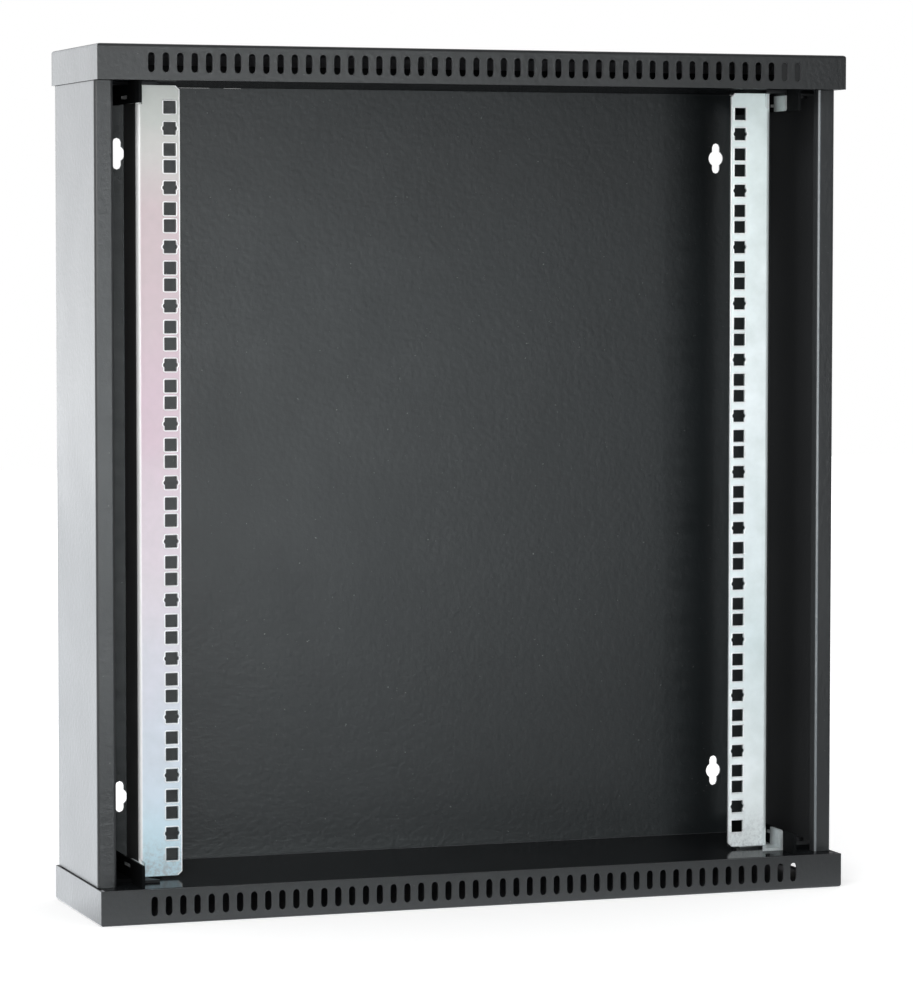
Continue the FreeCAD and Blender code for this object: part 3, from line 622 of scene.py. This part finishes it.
# ---------------------------------------------------------------------------
# Bolts and screws: zinc-plated M6 hexagon bolts hold the feet, and M5 screws
# with a cross recess and black-passivated zinc hold the side panels and the
# rear panel. Each has a chamfered head and a rolled thread.
# ---------------------------------------------------------------------------
def fastener_tree(name, recessed):
    """A head on a threaded shank at each point, turned as the point's own turn says."""
    tree = bpy.data.node_groups.new(name, "GeometryNodeTree")
    socket_of(tree, "Places", "NodeSocketGeometry")
    socket_of(tree, "Head Sides", "NodeSocketInt", 32)
    socket_of(tree, "Head Radius", "NodeSocketFloat", 0.0048)
    socket_of(tree, "Head Height", "NodeSocketFloat", 0.003)
    socket_of(tree, "Shank Radius", "NodeSocketFloat", 0.0025)
    socket_of(tree, "Shank Length", "NodeSocketFloat", 0.010)
    socket_of(tree, "Thread Pitch", "NodeSocketFloat", 0.0008)
    socket_of(tree, "Finish", "NodeSocketMaterial")
    socket_of(tree, "Geometry", "NodeSocketGeometry", direction="OUTPUT")
    given = put(tree, "NodeGroupInput").outputs

    def moved(shape, height):
        spot = put(tree, "ShaderNodeCombineXYZ", {"Z": height})
        return put(tree, "GeometryNodeTransform", {"Geometry": shape,
                                                   "Translation": spot.outputs[0]}).outputs[0]

    collar_height = calc(tree, "MULTIPLY", given["Head Height"], 0.7)
    crown_height = calc(tree, "MULTIPLY", given["Head Height"], 0.3)
    crown_radius = calc(tree, "MULTIPLY", given["Head Radius"], 0.82)
    collar = put(tree, "GeometryNodeMeshCylinder",
                 {"Vertices": given["Head Sides"], "Radius": given["Head Radius"],
                  "Depth": collar_height}).outputs[0]
    crown = put(tree, "GeometryNodeMeshCone",
                {"Vertices": given["Head Sides"], "Radius Top": given["Head Radius"],
                 "Radius Bottom": crown_radius, "Depth": crown_height}).outputs[0]
    collar = moved(collar, calc(tree, "MULTIPLY", collar_height, -0.5))
    crown = moved(crown, calc(tree, "MULTIPLY", given["Head Height"], -1.0))
    head = put(tree, "GeometryNodeJoinGeometry")
    for shape in (collar, crown):
        tree.links.new(shape, head.inputs[0])
    head = head.outputs[0]
    if recessed:
        head = put(tree, "GeometryNodeMeshBoolean", {"Mesh 2": collar}, operation="UNION")
        tree.links.new(crown, head.inputs["Mesh 2"])
        head = head.outputs[0]
        bar_long = calc(tree, "MULTIPLY", given["Head Radius"], 1.05)
        bar_thin = calc(tree, "MULTIPLY", given["Head Radius"], 0.24)
        cross = []
        for wide, deep in ((bar_long, bar_thin), (bar_thin, bar_long)):
            size = put(tree, "ShaderNodeCombineXYZ", {"X": wide, "Y": deep,
                                                      "Z": given["Head Height"]})
            bar = put(tree, "GeometryNodeMeshCube", {"Size": size.outputs[0]}).outputs[0]
            cross.append(moved(bar, calc(tree, "MULTIPLY", given["Head Height"], -1.0)))
        carved = put(tree, "GeometryNodeMeshBoolean", {"Mesh 1": head}, operation="DIFFERENCE")
        for bar in cross:
            tree.links.new(bar, carved.inputs["Mesh 2"])
        head = carved.outputs[0]

    shank = put(tree, "GeometryNodeMeshCylinder",
                {"Vertices": 20, "Radius": given["Shank Radius"],
                 "Depth": given["Shank Length"]}).outputs[0]
    shank = moved(shank, calc(tree, "MULTIPLY", given["Shank Length"], 0.5))
    turns = calc(tree, "DIVIDE", given["Shank Length"], given["Thread Pitch"])
    helix = put(tree, "GeometryNodeCurveSpiral",
                {"Resolution": 14, "Rotations": turns, "Start Radius": given["Shank Radius"],
                 "End Radius": given["Shank Radius"], "Height": given["Shank Length"]})
    ridge = put(tree, "GeometryNodeCurvePrimitiveCircle",
                {"Resolution": 4, "Radius": calc(tree, "MULTIPLY", given["Thread Pitch"], 0.22)})
    thread = put(tree, "GeometryNodeCurveToMesh", {"Curve": helix.outputs[0],
                                                   "Profile Curve": ridge.outputs[0],
                                                   "Fill Caps": True})
    whole = put(tree, "GeometryNodeJoinGeometry")
    for shape in (head, shank, thread.outputs[0]):
        tree.links.new(shape, whole.inputs[0])
    turn = put(tree, "GeometryNodeInputNamedAttribute", {"Name": "turn"}, data_type="FLOAT_VECTOR")
    turned = put(tree, "FunctionNodeEulerToRotation", {0: turn.outputs[0]})
    copies = put(tree, "GeometryNodeInstanceOnPoints",
                 {"Points": given["Places"], "Instance": whole.outputs[0],
                  "Rotation": turned.outputs[0]})
    real = put(tree, "GeometryNodeRealizeInstances", {"Geometry": copies.outputs[0]})
    finish = put(tree, "GeometryNodeSetMaterial", {"Geometry": real.outputs[0],
                                                   "Material": given["Finish"]})
    put(tree, "NodeGroupOutput", {"Geometry": finish.outputs[0]})
    return tree


def place_points(name, spots, turns):
    """Points with a turn each, on which the fasteners are set."""
    mesh = bpy.data.meshes.new(name)
    mesh.from_pydata(spots, [], [])
    turn = mesh.attributes.new("turn", "FLOAT_VECTOR", "POINT")
    for item, value in zip(turn.data, turns):
        item.vector = value
    return mesh


bolt_zinc = zinc("bolt_zinc", [(level, (0.66, 0.67, 0.68)) for level in (-0.29, 0.29)], 0.05, 0.3)
black_zinc = zinc("black_zinc", [(level, (0.022, 0.023, 0.025)) for level in (-0.29, 0.29)],
                  0.05, 0.2, (0.05, 0.05, 0.05))
screw_tree = fastener_tree("recessed_screws", True)
bolt_tree = fastener_tree("hexagon_bolts", False)
upside_down = (math.pi, 0.0, 0.0)
upright = (0.0, 0.0, 0.0)

screw_head, screw_head_height, screw_shank, thread_pitch = 0.0095, 0.003, 0.005, 0.0008
thread_depth, head_facets = 0.00018, 12
head_reach = screw_head / 2 / math.cos(math.pi / head_facets)
low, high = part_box("panel_screws")
sheet_skin = 0.0012
seat = rail_end - sheet_skin
spots, turns = [], []
for level_side, turn in ((1, upright), (-1, upside_down)):
    for side in (-1, 1):
        for ahead_place in (low.y + head_reach, high.y - head_reach):
            spots.append((side * (high.x - head_reach), ahead_place, level_side * seat))
            turns.append(turn)
panel_screws = grown("panel_screws_cut", place_points("panel_screw_places", spots, turns),
                     screw_tree, head_sides=32, head_radius=screw_head / 2,
                     head_height=screw_head_height, shank_radius=screw_shank / 2 - thread_depth,
                     shank_length=high.z - seat, thread_pitch=thread_pitch, finish=black_zinc)
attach(panel_screws, "root")
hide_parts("panel_screws")

low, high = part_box("rear_screws")
rear_seat = low.y + screw_head_height
spots = [(side * (high.x - head_reach), rear_seat, step * (high.z - head_reach))
         for side in (-1, 1) for step in (-1, 0, 1)]
turns = [(-math.pi / 2, 0.0, 0.0)] * len(spots)
rear_screws = grown("rear_screws_cut", place_points("rear_screw_places", spots, turns),
                    screw_tree, head_sides=32, head_radius=screw_head / 2,
                    head_height=screw_head_height, shank_radius=screw_shank / 2 - thread_depth,
                    shank_length=high.y - rear_seat, thread_pitch=thread_pitch, finish=black_zinc)
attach(rear_screws, "root")
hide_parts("rear_screws")

bolt_width, bolt_head_height, bolt_shank, coarse_pitch = 0.010, 0.004, 0.006, 0.001
coarse_depth = 0.00022
bolt_corner = bolt_width / 2 / math.cos(math.pi / 6)
low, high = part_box("foot_bolts")
bolt_seat = rail_end
spots, turns = [], []
for level_side, turn in ((1, upright), (-1, upside_down)):
    for side in (-1, 1):
        spots.append((side * (high.x - bolt_corner), (low.y + high.y) / 2, level_side * bolt_seat))
        turns.append(turn)
foot_bolts = grown("foot_bolts_cut", place_points("foot_bolt_places", spots, turns), bolt_tree,
                   head_sides=6, head_radius=bolt_corner, head_height=bolt_head_height,
                   shank_radius=bolt_shank / 2 - coarse_depth, shank_length=high.z - bolt_seat,
                   thread_pitch=coarse_pitch, finish=bolt_zinc)
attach(foot_bolts, "root")
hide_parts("foot_bolts")
dress(bolt_zinc, "foot_nuts")
dress(black_zinc, "panel_nuts")
